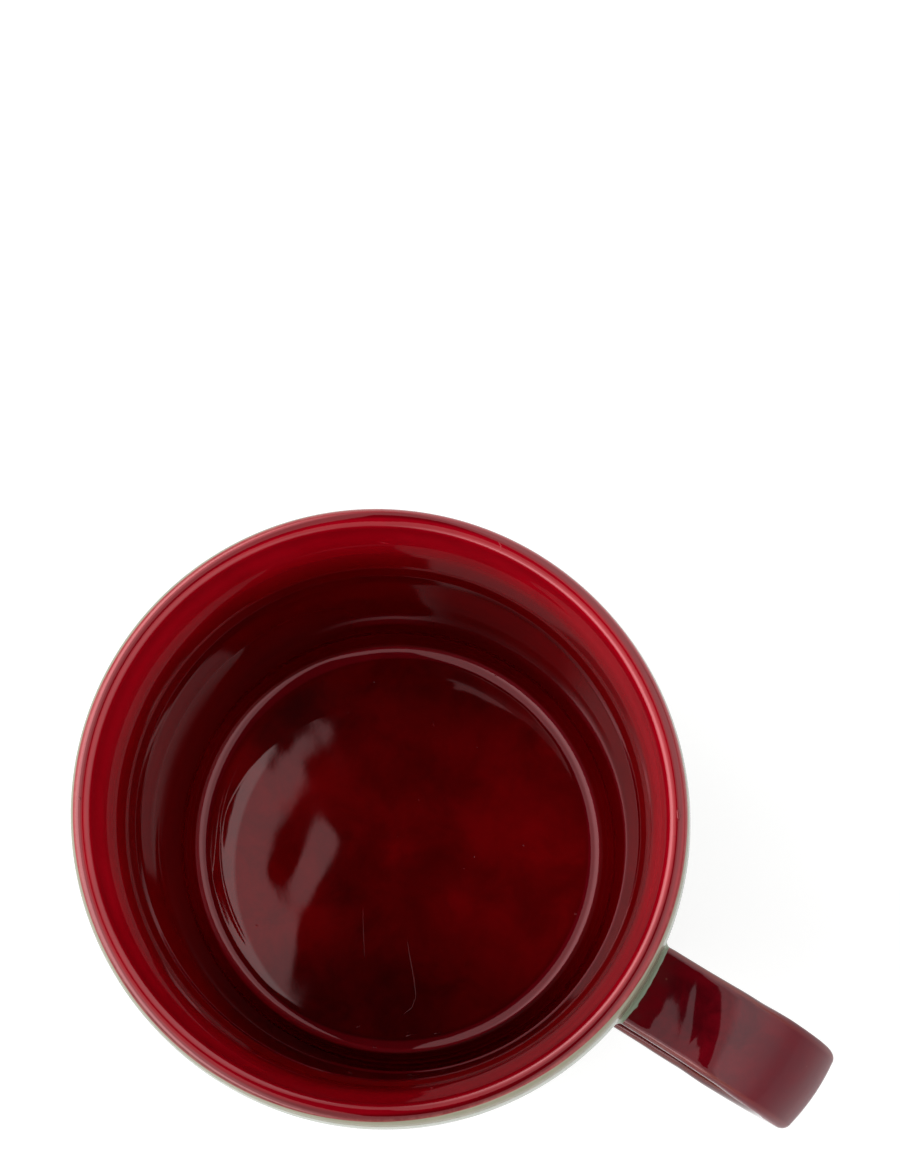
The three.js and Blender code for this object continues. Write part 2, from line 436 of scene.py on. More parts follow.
# %% The floor
FLOOR_HALF = 4.0
FLOOR_GLOW = 0.74
mesh = bpy.data.meshes.new("pale_floor")
made = bmesh.new()
corners = [(x * FLOOR_HALF, y * FLOOR_HALF, 0) for x, y in ((-1, -1), (1, -1), (1, 1), (-1, 1))]
made.faces.new([made.verts.new(corner) for corner in corners])
made.to_mesh(mesh)
made.free()
floor = bpy.data.objects.new("pale_floor", mesh)
scene.collection.objects.link(floor)
paper = Finish("white_paper", Roughness=0.9, Specular_IOR_Level=0.1, Emission_Strength=1.0)
paper.feed(Base_Color=paper.between(paper.cloud(1.5, detail=2), (0.48, 0.48, 0.48), (0.52, 0.52, 0.52)),
           Emission_Color=paper.between(paper.seen(), (0, 0, 0), (FLOOR_GLOW,) * 3))
paper.on(floor)
print("floor", FLOOR_HALF * 2, "m across")

# %% [markdown]
# ## Turning an outline
#
# Everything about the bowl was turned on a wheel, so each of its pieces is one outline in radius and
# height, carried round the axis. A real bowl isn't perfectly round: pulling on the handle while the clay is
# soft draws it out along the handle by a few tenths of a millimetre, and the throwing leaves slow waves. So
# each point is moved a little by a rule that all the coats share, which keeps the glaze the same distance
# off the clay all round.

# %% The wheel
AROUND = 320
OVAL = 0.39
OVAL_TURN = math.radians(-9)
WAVE, WAVE_LENGTH = 0.05, 24
STILL_FOOT = 8


def smooth(share):
    share = min(max(share, 0.0), 1.0)
    return share * share * (3 - 2 * share)


def uneven(radius, level, angle):
    """How a thrown point strays from the true round: a slight oval and slow waves, in millimetres."""
    share = radius / BODY_RADIUS
    oval = OVAL * share * math.cos(2 * (angle - OVAL_TURN))
    at = Vector((math.cos(angle) * radius, math.sin(angle) * radius, level)) / WAVE_LENGTH
    wave = WAVE * share * noise.noise(at)
    lift = WAVE * share * noise.noise(at + Vector((7, 3, 5))) * smooth(level / STILL_FOOT)
    return radius + oval + wave, level + lift


def solid_object(name, rings, closed=True):
    """A mesh through rings of points in millimetres about the bowl's axis. A ring of one point is a tip."""
    mesh = bpy.data.meshes.new(name)
    made = bmesh.new()
    rows = []
    around = max(len(ring) for ring in rings)
    for ring in rings:
        verts = [made.verts.new((point + AXIS) * MM) for point in ring]
        rows.append(verts * around if len(verts) == 1 else verts)
    pairs = list(zip(rows, rows[1:])) + ([(rows[-1], rows[0])] if closed else [])
    for low, high in pairs:
        for i in range(around):
            j = (i + 1) % around
            corners = [low[i], low[j], high[j], high[i]]
            corners = [v for k, v in enumerate(corners) if v not in corners[:k]]
            if len(corners) > 2:
                made.faces.new(corners)
    bmesh.ops.recalc_face_normals(made, faces=made.faces)
    made.to_mesh(mesh)
    made.free()
    mesh.shade_smooth()
    thing = bpy.data.objects.new(name, mesh)
    scene.collection.objects.link(thing)
    return thing


def turned(name, outline, stray=uneven):
    """An outline of (radius, level) points carried round the axis."""
    rings = []
    for radius, level in outline:
        if radius < 1e-6:
            rings.append([Vector((0, 0, level))])
            continue
        ring = []
        for i in range(AROUND):
            angle = 2 * math.pi * i / AROUND
            r, z = stray(radius, level, angle)
            ring.append(Vector((r * math.cos(angle), r * math.sin(angle), z)))
        rings.append(ring)
    on_axis = outline[0][0] < 1e-6 and outline[-1][0] < 1e-6
    return solid_object(name, rings, closed=not on_axis)


print("the wheel takes", AROUND, "steps round")

# %% [markdown]
# Outlines are made of arcs, of curves that pull towards a corner, and of long runs that are easiest to give
# by their lean, because the eye and a glaze show slopes far better than places.

# %% Ways to draw an outline
def arc(middle, radius, start, end, steps):
    """Points on an arc, from one angle to another, in degrees."""
    angles = [math.radians(start + (end - start) * i / steps) for i in range(steps + 1)]
    return [(middle[0] + radius * math.cos(a), middle[1] + radius * math.sin(a)) for a in angles]


def pulled(start, corner, end, steps):
    """Points on a curve that leaves its start and reaches its end along the lines to the corner."""
    shares = [i / steps for i in range(steps + 1)]
    return [tuple((1 - t) ** 2 * a + 2 * t * (1 - t) * b + t * t * c for a, b, c in zip(start, corner, end))
            for t in shares]


def sunk(outline, depth):
    """The same outline moved to its right by a depth."""
    moved = []
    for i, (r, z) in enumerate(outline):
        (r0, z0), (r1, z1) = outline[max(i - 1, 0)], outline[min(i + 1, len(outline) - 1)]
        along_r, along_z = r1 - r0, z1 - z0
        length = math.hypot(along_r, along_z)
        new_r = 0.0 if r < 1e-6 else r + depth * along_z / length
        moved.append((new_r, z - depth * along_r / length))
    return moved


def by_lean(places, leans):
    """How far a run strays sideways at each place, when its lean in degrees is known at some places."""
    slopes = np.tan(np.radians(np.interp(places, *zip(*leans))))
    steps = (slopes[1:] + slopes[:-1]) / 2 * np.diff(places)
    return np.concatenate([[0], np.cumsum(steps)])


print("a quarter arc of radius 1 ends at", [round(v, 3) for v in arc((0, 0), 1, 0, 90, 4)[-1]])

# %% [markdown]
# ## The red liner
#
# The inside has four parts. The floor is almost flat, and a tight corner lifts it into the wall. The lower
# wall closes in slightly on its way down. At a soft step 25 mm below the lip the rib stopped, and above it
# the thinner wall opens to the lip, whose crest is set in a little, so that it is tighter inside than
# outside. The wall is told by how far it leans at each depth, because a lean decides what the glaze
# mirrors: a bright band in the photograph is a stretch that leans just enough to show the lit side of the
# room. The flare under the lip is one curve, the step is one slope, and below it the wall swells a little
# and then runs almost upright. These round values were chosen so that the bands fall about where the
# photograph has them. They aren't measured.

# %% The wall's lean at some depths under the lip
FLOOR_LEVEL = HEIGHT - 87.9
CORNER = 4.3
CORNER_EASE = 0.9
CORNER_START = 34.5
FLARE_LEAN, FLARE_FROM, FLARE_TO, FLARE_BOW = 12, 1, 14, 1.5
UPRIGHT_LEAN, SWELL_LEAN, LOW_LEAN = -0.5, 2.5, 0.5
STEP_DEPTH, STEP_TALL, STEP_LEAN = 25.2, 2.8, 15
SWELL_DEPTH, SWELL_TALL = 35, 10
EASE_FROM = 56.0
flare = [(FLARE_FROM + (FLARE_TO - FLARE_FROM) * t, FLARE_LEAN + (UPRIGHT_LEAN - FLARE_LEAN) * t ** FLARE_BOW)
         for t in np.linspace(0, 1, 9)]
step = [(STEP_DEPTH - 0.5, UPRIGHT_LEAN), (STEP_DEPTH + 0.5, STEP_LEAN), (STEP_DEPTH + STEP_TALL, STEP_LEAN)]
swell = [(STEP_DEPTH + STEP_TALL + 0.3, -1), (SWELL_DEPTH - 1, -1), (SWELL_DEPTH, SWELL_LEAN),
         (SWELL_DEPTH + SWELL_TALL, SWELL_LEAN), (SWELL_DEPTH + 2 * SWELL_TALL, LOW_LEAN), (HEIGHT, LOW_LEAN)]
wall_leans = flare + step + swell

# %% The inside of the bowl, from the floor's middle to the red's end
floor_radii = np.concatenate([np.arange(0, 26, 1.0), np.arange(26, CORNER_START + 0.01, 0.22)])
floor_points = [(float(r), FLOOR_LEVEL) for r in floor_radii]

corner_points = [floor_points[-1]]
tilt, gone, stride = 0.0, 0.0, 0.22
while tilt < math.pi / 2:
    bend_now = min(1.0, (gone + stride / 2) / CORNER_EASE) / CORNER * stride
    heading = tilt + bend_now / 2
    r, z = corner_points[-1]
    corner_points.append((r + stride * math.cos(heading), z + stride * math.sin(heading)))
    tilt, gone = tilt + bend_now, gone + stride
foot_of_wall = corner_points[-1]

lip_start = math.radians(wall_leans[0][1])
inner_round, outer_round = LIP_RADIUS - CREST_IN / 2, LIP_RADIUS + CREST_IN
crest_radius = LIP_MIDDLE - CREST_IN
lip_in = (crest_radius - inner_round * math.cos(lip_start), HEIGHT - inner_round * (1 - math.sin(lip_start)))
depths = np.concatenate([np.arange(HEIGHT - lip_in[1], 23, 0.5), np.arange(23, 30, 0.22),
                         np.arange(30, HEIGHT - foot_of_wall[1] - 0.3, 0.9)])
wall_radii = lip_in[0] - by_lean(depths, wall_leans)
miss = foot_of_wall[0] - wall_radii[-1]
wall_points = [(float(r) + miss * smooth((d - EASE_FROM) / (depths[-1] - EASE_FROM)), HEIGHT - float(d))
               for d, r in zip(depths, wall_radii)]
lip_points = arc((crest_radius, HEIGHT - inner_round), inner_round, 180 - math.degrees(lip_start), 90, 14)
lip_points += arc((crest_radius, HEIGHT - outer_round), outer_round, 90, math.degrees(LIP_LEAN), 16)[1:]
inside = floor_points + corner_points[1:] + wall_points[::-1] + lip_points[1:]
print("inside outline:", len(inside), "points; the wall meets its corner within", round(miss, 2), "mm")

# %% [markdown]
# The floor isn't quite flat. Two shallow hollows and one low swelling, a few hundredths of a millimetre
# deep, bend the light's edge towards the ragged crescent of the photograph. Each is set by its middle, its
# turn, its length, its width and its depth, in the picture's own right and up. On the left a thin crescent
# beside the corner rises by a degree or so, as if glaze had gathered there, and a hair-thin ridge runs
# along it. The inside as a whole sits a hair off the axis of the outside.

# %% The floor's hollows and its ridge
HOLLOWS = [(-17.8, -1, 242, 7, 3.8, 0.07), (-18, 20, 245, 6, 4, 0.024), (-19, -19, 110, 7, 5, -0.035)]
RIDGE_RADIUS, RIDGE_HEIGHT, RIDGE_WIDTH = 33.0, 0.012, 0.3
EDGE_RISE_FROM, EDGE_RISE_TURN, EDGE_RISE = 33.6, 5.6, math.tan(math.radians(1.4))
CRESCENT_START, CRESCENT_END = -0.38, 1.4
FLOOR_RIPPLE = 0.012
OFF_CENTRE = 0.28


def liner_stray(radius, level, angle):
    """The wheel's unevenness, an inside a hair off centre, and on the floor the hollows and the ridge."""
    r, z = uneven(radius, level, angle)
    to_side = math.cos(angle) * picture_right.x + math.sin(angle) * picture_right.y
    r += OFF_CENTRE * to_side * smooth((HEIGHT - 1 - level) / 5) * smooth(radius / 12)
    if radius > CORNER_START + 3 or level > FLOOR_LEVEL + 3:
        return r, z
    spot = Vector((radius * math.cos(angle), radius * math.sin(angle), 0))
    x, y = spot.dot(picture_right), spot.dot(picture_up)
    for across_x, across_y, turned_by, long, wide, deep in HOLLOWS:
        c, s = math.cos(math.radians(turned_by)), math.sin(math.radians(turned_by))
        along, beside = (x - across_x) * c + (y - across_y) * s, (y - across_y) * c - (x - across_x) * s
        z -= deep * math.exp(-(along / long) ** 2 - (beside / wide) ** 2)
    left_share = smooth((-x / max(radius, 1) - 0.75) / 0.2)
    z += RIDGE_HEIGHT * left_share * math.exp(-((radius - RIDGE_RADIUS) / RIDGE_WIDTH) ** 2)
    round_left = math.atan2(y, -x)
    crescent = smooth((round_left - CRESCENT_START) / 0.15) * smooth((CRESCENT_END - round_left) / 0.3)
    over = max(0.0, min(radius, CORNER_START) - EDGE_RISE_FROM + EDGE_RISE_TURN * round_left)
    z += EDGE_RISE * crescent * over * smooth((CORNER_START + 3 - radius) / 2)
    z += FLOOR_RIPPLE * smooth(radius / 8) * noise.noise(Vector((x, y, 1)) / 5)
    return r, z


liner = turned("liner_red", inside + sunk(inside, GLAZE)[::-1], liner_stray)
print("liner:", len(liner.data.vertices), "vertices")

# %% [markdown]
# ## Small marks in the liner
#
# A fired glaze keeps a few beads, hairs and crawled threads. Each catches one sharp glint. They are placed
# where the photograph shows them, by sending a line of sight through the pixel and laying the mark on the
# surface that it meets. Each mark has the pixels that it runs through and its radius in
# millimetres.

# %% Where a line of sight meets a piece
def surface_of(thing):
    mesh = thing.data
    return BVHTree.FromPolygons([v.co for v in mesh.vertices], [list(p.vertices) for p in mesh.polygons])


def seen_at(tree, x, y):
    """The place and normal under a pixel, in millimetres about the bowl's axis."""
    direction = turn @ line_of_sight(x, y)
    place, normal, _, _ = tree.ray_cast(stand * MM, direction)
    return place / MM - AXIS, normal if normal.dot(direction) < 0 else -normal


def thread(points, normals, radius, flat):
    """Rings of a thin thread that lies along points on a surface and tapers to both ends."""
    rings = [[points[0]]]
    for i in range(1, len(points) - 1):
        ahead = (points[i + 1] - points[i - 1]).normalized()
        beside = ahead.cross(normals[i]).normalized()
        width = radius * math.sin(math.pi * i / (len(points) - 1)) ** 0.5
        rings.append([points[i] + beside * width * math.cos(a) + normals[i] * width * flat * math.sin(a)
                      for a in [2 * math.pi * k / 8 for k in range(8)]])
    return rings + [[points[-1]]]


inner_surface = surface_of(liner)
THREADS = [([(407, 938), (410, 958), (414, 980), (416, 997), (412, 1008), (401, 1016)], 0.2),
           ([(363, 905), (363, 925), (364, 945), (365, 960)], 0.1),
           ([(378, 542), (384, 543), (391, 544)], 0.08), ([(498, 541), (501, 546), (500, 551)], 0.08),
           ([(355, 1028), (361, 1026)], 0.22), ([(372, 1047), (378, 1048)], 0.2),
           ([(403, 1037), (416, 1034)], 0.18), ([(432, 1034), (442, 1033)], 0.14),
           ([(78, 797), (81, 800)], 0.22), ([(678, 808), (679, 821)], 0.28),
           ([(418, 799), (420, 801)], 0.12), ([(394, 805), (395, 807)], 0.12),
           ([(476, 746), (478, 748)], 0.1), ([(463, 868), (465, 869)], 0.12),
           ([(397, 835), (398, 838)], 0.1), ([(433, 720), (434, 727)], 0.08)]
MARK_FLAT = 0.45
marks = []
for pixels, radius in THREADS:
    line = []
    for (x0, y0), (x1, y1) in zip(pixels, pixels[1:]):
        line += [(x0 + (x1 - x0) * t, y0 + (y1 - y0) * t) for t in np.linspace(0, 1, 5)[:-1]]
    hits = [seen_at(inner_surface, x, y) for x, y in line + [pixels[-1]]]
    rings = thread([place for place, _ in hits], [normal for _, normal in hits], radius, MARK_FLAT)
    marks.append(solid_object(f"glaze_mark_{len(marks):02d}", rings, closed=False))
print(len(marks), "marks in the glaze")

# %% [markdown]
# ## The green coat and the clay foot
#
# The green starts on the outer side of the lip, runs down the straight wall and stops in a soft line above
# the foot. The potter wiped the foot clean, so that it wouldn't stick to the kiln shelf, and the bare clay
# shows its turning marks. Under the green a faint spiral is left from throwing.

# %% The outside, from the lip down to the bare band over the foot
POOL_SWELL = 0.25
THROWN, THROWN_PITCH = 0.06, 2.6
lip_end = inside[-1]
bend_level = lip_end[1] - (BODY_RADIUS - lip_end[0]) / math.tan(LIP_LEAN)
GREEN_TURN = 79
base_middle = (BODY_RADIUS - BASE_CORNER, FOOT_HEIGHT + BASE_CORNER)
outside = pulled(lip_end, (BODY_RADIUS, bend_level), (BODY_RADIUS, HEIGHT - 9), 14)
outside += [(BODY_RADIUS, float(z)) for z in np.linspace(HEIGHT - 10, base_middle[1], 100)]
outside += arc(base_middle, BASE_CORNER, 0, -GREEN_TURN, 20)[1:]


def coat_stray(radius, level, angle):
    """The green ends in a slow wave above the foot, and swells a little there, where it pooled."""
    r, z = uneven(radius, level, angle)
    low = smooth((14 - level) / 10)
    turn_about = Vector((math.cos(angle) * 3, math.sin(angle) * 3, 0))
    wander = noise.noise(turn_about) + 0.4 * noise.noise(turn_about * 3)
    bulge = POOL_SWELL * smooth((16 - level) / 6) * smooth((level - 3.2) / 1.5)
    spiral = level / THROWN_PITCH + angle / (2 * math.pi)
    thrown = noise.noise(Vector((spiral, math.cos(angle) / 2, math.sin(angle) / 2)))
    bulge += THROWN * thrown * smooth((HEIGHT - 6 - level) / 8) * smooth((level - 12) / 8)
    return r + bulge, z + 0.7 * low * low * wander


coat = turned("outer_green", outside + sunk(outside, GLAZE)[::-1], coat_stray)
print("green coat:", len(coat.data.vertices), "vertices")

# %% The clay under both coats, with its turned foot ring
FOOT_EDGE = 0.9
TURNING_MARK = 0.06
under = arc(base_middle, BASE_CORNER, -GREEN_TURN + 8, -88, 6)
under += [(FOOT_RADIUS + 0.6, FOOT_HEIGHT + 0.02), (FOOT_RADIUS, FOOT_HEIGHT - 0.5)]
under += arc((FOOT_RADIUS - FOOT_EDGE, FOOT_EDGE), FOOT_EDGE, 0, -90, 8)
under += arc((FOOT_RADIUS - FOOT_WIDTH + FOOT_EDGE, FOOT_EDGE), FOOT_EDGE, -90, -180, 8)
under += [(FOOT_RADIUS - FOOT_WIDTH, FOOT_HEIGHT - 0.5), (FOOT_RADIUS - FOOT_WIDTH - 0.5, FOOT_HEIGHT)]
under += [(float(r), FOOT_HEIGHT + TURNING_MARK * math.sin(r * 2.1))
          for r in np.linspace(FOOT_RADIUS - FOOT_WIDTH - 1, 0, 90)]
covered = sunk([p for p in inside + outside[1:] if p[1] > 4.2 or p[0] < 40], GLAZE)
clay = turned("clay_foot", covered + under)
print("clay:", len(clay.data.vertices), "vertices")

# %% [markdown]
# ## The handle
#
# The handle is a pulled strap: it leaves the wall almost level, rises a little to a crest, bends down in
# one sweep and comes back in. Its outer face is nearly flat near the root and rounder at the bend, where it
# is also half a millimetre to a millimetre wider. Its top slants a little along its run. A faint kink near
# the root, left by the thumb that pressed it on, splits the dark reflection there into two leaves.

# %% The strap's middle line
ROOT_DEPTH = 14.5
LOWER_ROOT = 23.0
CREST_OUT, CREST_RISE = 11.0, 0.8
BEND_DROP = 23.0
LOWER_SLOPE = math.radians(14)
STRAP_WIDTH, STRAP_THICK = 13.4, 5.8
STRAP_WIDER = 0.5
STRAP_SHIFT = -0.8
STRAP_SLANT, BEND_SLANT = 3.6, 0.5
ROOT_PULL_SHARE, OUT_PULL_SHARE, DOWN_PULL_SHARE = 0.4, 0.74, 0.4
BEND_PULL_SHARE, LOW_PULL_SHARE = 0.58, 0.62
KINK_OUT, KINK_HEIGHT, KINK_WIDTH = 6.6, 0.085, 0.7


def bezier(a, b, c, d, steps):
    points = []
    for i in range(steps + 1):
        t = i / steps
        points.append(tuple((1 - t) ** 3 * p + 3 * t * (1 - t) ** 2 * q + 3 * t * t * (1 - t) * r + t**3 * s
                            for p, q, r, s in zip(a, b, c, d)))
    return points


inner = BODY_RADIUS - WALL
root = (inner, HEIGHT - ROOT_DEPTH)
crest = (BODY_RADIUS + CREST_OUT, root[1] + CREST_RISE)
bend = (BODY_RADIUS + HANDLE_REACH - STRAP_THICK / 2 + 0.35, crest[1] - BEND_DROP)
foot = (inner, LOWER_ROOT - WALL * math.tan(LOWER_SLOPE))
out, down = crest[0] - root[0], bend[1] - foot[1]
run = (bend[0] - foot[0]) * LOW_PULL_SHARE
low_pull = (foot[0] + math.cos(LOWER_SLOPE) * run, foot[1] + math.sin(LOWER_SLOPE) * run)
rise_pull = out * ROOT_PULL_SHARE
spine = bezier(root, (root[0] + rise_pull, root[1]), (crest[0] - rise_pull, crest[1]), crest, 90)
spine += bezier(crest, (crest[0] + (bend[0] - crest[0]) * OUT_PULL_SHARE, crest[1]),
                (bend[0], bend[1] + BEND_DROP * DOWN_PULL_SHARE), bend, 90)[1:]
spine += bezier(bend, (bend[0], bend[1] - down * BEND_PULL_SHARE), low_pull, foot, 120)[1:]
print("strap's middle line:", len(spine), "points, crest at", [round(v, 1) for v in crest])


# %% The strap's section, and the strap
def strap_section(out_share=0.0, grown=0.0):
    """The cross-section as (across, outward) points. It is wider and rounder the further out it is."""
    half = (STRAP_WIDTH + STRAP_WIDER * (smooth(out_share) + smooth((out_share - 0.7) / 0.3))) / 2 + grown
    deep, edge, crown = STRAP_THICK / 2 + grown, 1.2 + 0.4 * out_share + grown, 0.1 + 0.35 * smooth(out_share)
    points = arc((half - edge, deep - crown - edge), edge, 0, 90, 8)
    points += pulled((half - edge, deep - crown), (0, deep + crown), (edge - half, deep - crown), 26)[1:-1]
    points += arc((edge - half, deep - crown - edge), edge, 90, 180, 8)
    points += arc((edge - half, edge - deep), edge, 180, 270, 8)
    points += [(float(x), -deep) for x in np.linspace(edge - half, half - edge, 12)[1:-1]]
    points += arc((half - edge, edge - deep), edge, 270, 360, 8)
    return points


def strap_rings(line):
    """Rings of the strap along its middle line, with the kink and a fingered, slightly rippled surface."""
    rings = []
    for i, (r, z) in enumerate(line):
        (r0, z0), (r1, z1) = line[max(i - 1, 0)], line[min(i + 1, len(line) - 1)]
        ahead = Vector((r1 - r0, 0, z1 - z0)).normalized()
        out_share = (r - BODY_RADIUS) / HANDLE_REACH
        ring = []
        for x, y in strap_section(smooth(out_share * 1.3)):
            outward = Vector((-ahead.z * y, x, ahead.x * y))
            point = Vector((r, STRAP_SHIFT, z)) + outward
            push = 0.05 * noise.noise(point / 7) + 0.012 * noise.noise(point / 2.2)
            near_root = smooth((BODY_RADIUS + 6 - point.x) / 4)
            push += near_root * (0.018 * noise.noise(point / 1.7) + 0.01 * noise.noise(point / 0.8))
            point += outward.normalized() * push
            slant = STRAP_SLANT * smooth((x + STRAP_WIDTH / 2) / -STRAP_WIDTH + 1)
            if y > 0 and z > HEIGHT / 2:
                kink = (point.x - slant - BODY_RADIUS - KINK_OUT) / KINK_WIDTH
                point.z += KINK_HEIGHT / 2 * (1 + math.tanh(kink))
                on_top = smooth((point.x - BODY_RADIUS) / 5) * smooth((BODY_RADIUS + 20 - point.x) / 7)
                point.z -= slant * on_top * ahead.z / ahead.x
            point.x += BEND_SLANT * (2 * x / STRAP_WIDTH) * smooth((out_share - 0.55) / 0.35)
            ring.append(point)
        rings.append(ring)
    return rings


first = next(i for i, p in enumerate(spine) if p[0] > BODY_RADIUS - 0.8)
last = len(spine) - next(i for i, p in enumerate(reversed(spine)) if p[0] > BODY_RADIUS - 0.8)
rings = strap_rings(spine[first:last])
tips = [[sum(ring, Vector()) / len(ring)] for ring in (rings[0], rings[-1])]
handle = solid_object("handle_red", [tips[0], *rings, tips[1]], closed=False)
print("handle:", len(handle.data.vertices), "vertices")

# %% [markdown]
# ## The slip at the roots
#
# The potter sticks the strap on with slip and wipes it round with a wet finger, which leaves a small hollow
# fillet. A boolean union with a bevel would give one, but leaves ragged faces on a round wall. Here the
# fillet is drawn directly: for each point of the strap's section, one curve leaves the strap, pulls towards
# the corner and lands on the wall, so it is smooth against both.

# %% Slip fillets
SLIP_ALONG = 1.15
SLIP_OVER_WALL = 2.3
SLIP_SUNK = 0.05
SLIP_DEEP = 0.5


def on_wall(x, z):
    """How far out the green surface is, in the handle's direction, at a width and a level."""
    r, _ = uneven(BODY_RADIUS, z, math.atan2(x, BODY_RADIUS))
    return math.sqrt(r * r - x * x)


def root_slip(name, line):
    """A closed fillet round the strap, where a line that starts inside the wall comes out of it."""
    line = [Vector((r, STRAP_SHIFT, z)) for r, z in line]
    reach = np.concatenate([[0], np.cumsum([(b - a).length for a, b in zip(line, line[1:])])])

    def surface(s, x, y):
        i = min(max(int(np.searchsorted(reach, s) - 1), 0), len(line) - 2)
        ahead = (line[i + 1] - line[i]).normalized()
        middle = line[i].lerp(line[i + 1], float((s - reach[i]) / (reach[i + 1] - reach[i])))
        return middle + Vector((-ahead.z * y, x, ahead.x * y))

    def leaves_wall(x, y):
        low, high = 0.0, 14.0
        for _ in range(30):
            s = (low + high) / 2
            point = surface(s, x, y)
            low, high = (s, high) if point.x < on_wall(point.y, point.z) else (low, s)
        return low

    into = Vector((-1, 0, 0))
    rings = []
    sections = zip(strap_section(), strap_section(grown=SLIP_OVER_WALL), strap_section(grown=-SLIP_DEEP))
    for (x, y), (wide_x, wide_y), (core_x, core_y) in sections:
        s = leaves_wall(x, y)
        corner = surface(s, x, y)
        lumps = 1 + 0.12 * noise.noise(Vector((x, y, 3)) / 3.5) + 0.05 * noise.noise(Vector((x, y, 9)))
        along = SLIP_ALONG * lumps
        over = 1 + 0.2 * noise.noise(Vector((x, y, 17)) / 4)
        sink = SLIP_SUNK / SLIP_DEEP
        start = surface(s + along, x + (core_x - x) * sink, y + (core_y - y) * sink)
        wide_x, wide_y = x + (wide_x - x) * over, y + (wide_y - y) * over
        landing = surface(leaves_wall(wide_x, wide_y), wide_x, wide_y)
        curve = [start.lerp(corner, t).lerp(corner.lerp(landing, t), t) for t in np.linspace(0, 1, 14)]
        for k in range(1, 13):
            curve[k] += (curve[k] - corner) * 0.06 * noise.noise(curve[k] / 0.9)
        curve[-1] = landing + into * SLIP_SUNK
        hidden = [landing + into * SLIP_DEEP, surface(s, core_x, core_y) + into * SLIP_DEEP,
                  surface(s + along, core_x, core_y)]
        rings.append(curve + hidden)
    return solid_object(name, rings)


upper_slip = root_slip("upper_slip", spine[:110])
lower_slip = root_slip("lower_slip", spine[::-1][:110])
print("slips:", [len(slip.data.vertices) for slip in (upper_slip, lower_slip)], "vertices")

# %% [markdown]
# ## The red glaze
#
# An iron red over pale clay is bright where it is thin and nearly brown where it is thick or where little
# light comes back. Above the step it lies thin and bright. Below the step it is darker, and on the floor it
# pooled into cloudy patches, each set by its middle, its width and how dark it is. Painted light and shade
# lie in the colour too: the upper wall is painted lighter towards the lip, painted shade darkens the walls
# on the near side and the lower wall also on the far side and just under the step, the floor is painted
# lighter at its outer left and darker towards its near and far edges, a pale pink band round the floor's
# corner is a painted highlight, and a dark line along the lip's crest is a painted reflection of the dark
# overhead. Over the colour lies a clear skin with a very low roughness, with a few pits. Along the floor's
# left edge it lies thicker, as a clear coat.
#
# At the lip the red ends in a lap line over the green. In three places, where the photograph shows next to
# no reflection, a duller skin is mixed in: low on the left wall, low on the far right, and in a short strip
# beside the ring. The colour under it stays the same.

# %% Red liner glaze
POOLS = [(-9, -9, 7, 0.35), (-8, -25, 10, 0.4), (-20, 25, 8, 0.4), (4, -30, 12, 0.3), (6, 30, 8, 0.25),
         (10, -12, 6, -0.3), (25, -1, 7, -0.2), (-1, 1, 7, -0.2)]
WALL_RED, LIP_RED = (0.25, 0.0004, 0.003), (0.40, 0.0008, 0.009)
LOWER_RED, FLOOR_RED, RING_HIGHLIGHT_RED = (0.27, 0.0002, 0.0025), (0.40, 0.0002, 0.004), (0.42, 0.004, 0.02)
WORN_LIP, LAP_DARK, LAP_PALE = (0.46, 0.18, 0.14), (0.30, 0.34, 0.22), (0.44, 0.46, 0.33)
red = Finish("red_glaze", IOR=1.5, Specular_IOR_Level=1.0, Specular_Tint=(1.0, 0.5, 0.52),
             Coat_Roughness=0.02)
place = red.from_axis()
level = red.axis("Z", place)
flat = place * (1, 1, 0)
from_middle = red.length(flat)
compass = red.node("ShaderNodeVectorMath", {"operation": "NORMALIZE"}, _0=flat)
to_left, to_near = -red.toward(picture_right, compass), -red.toward(picture_up, compass)
above_step = red.rise(level, HEIGHT - STEP_DEPTH - 0.3, HEIGHT - STEP_DEPTH + 0.6)
# Painted light: this share makes the wall's colour lighter from the step up to the lip.
painted_lip_light = red.rise(level, HEIGHT - STEP_DEPTH, HEIGHT - 4)
at_lip = red.rise(level, HEIGHT - 4.5, HEIGHT - 1.2)
on_floor = 1 - red.rise(from_middle, CORNER_START - 1, CORNER_START + 1.0)
# Painted highlight: a paler, pinker band round the floor's corner stands for the ring of light it mirrors.
ring_highlight_band = (red.within(from_middle, 34.9, 37.0, 0.5)
             * (1 - red.rise(level, FLOOR_LEVEL + 1.5, FLOOR_LEVEL + 2.5)))
# Painted light: lighter towards the lip and lifted a third below its top; painted shade on the near side.
wall_tone = red.between(painted_lip_light, WALL_RED, LIP_RED)
shade_near, shade_far = red.rise(to_near, 0.2, 0.95), red.rise(-to_near, 0.4, 0.95)
wall_tone = red.shaded(wall_tone, (1.32 - 0.3 * at_lip) * (1 - 0.3 * shade_near))
under_step = red.rise(level, HEIGHT - 42, HEIGHT - 28)
aside = 1 - shade_near
lower_shade = ((1 - 0.3 * under_step * aside) * (1 - shade_near * (0.7 - 0.4 * under_step))
               * (1 - 0.3 * shade_far))
lower_tone = red.shaded(LOWER_RED, lower_shade)
red.tone = red.between(above_step, lower_tone, wall_tone)
# Painted light: the floor is made lighter at its outer left, and the corner's band is a painted highlight.
left_floor_light = red.rise(to_left, 0.3, 0.8) * red.rise(from_middle, 12, 22)
red.tint(on_floor, red.shaded(FLOOR_RED, 1 + 0.3 * left_floor_light))
red.tint(ring_highlight_band, RING_HIGHLIGHT_RED)
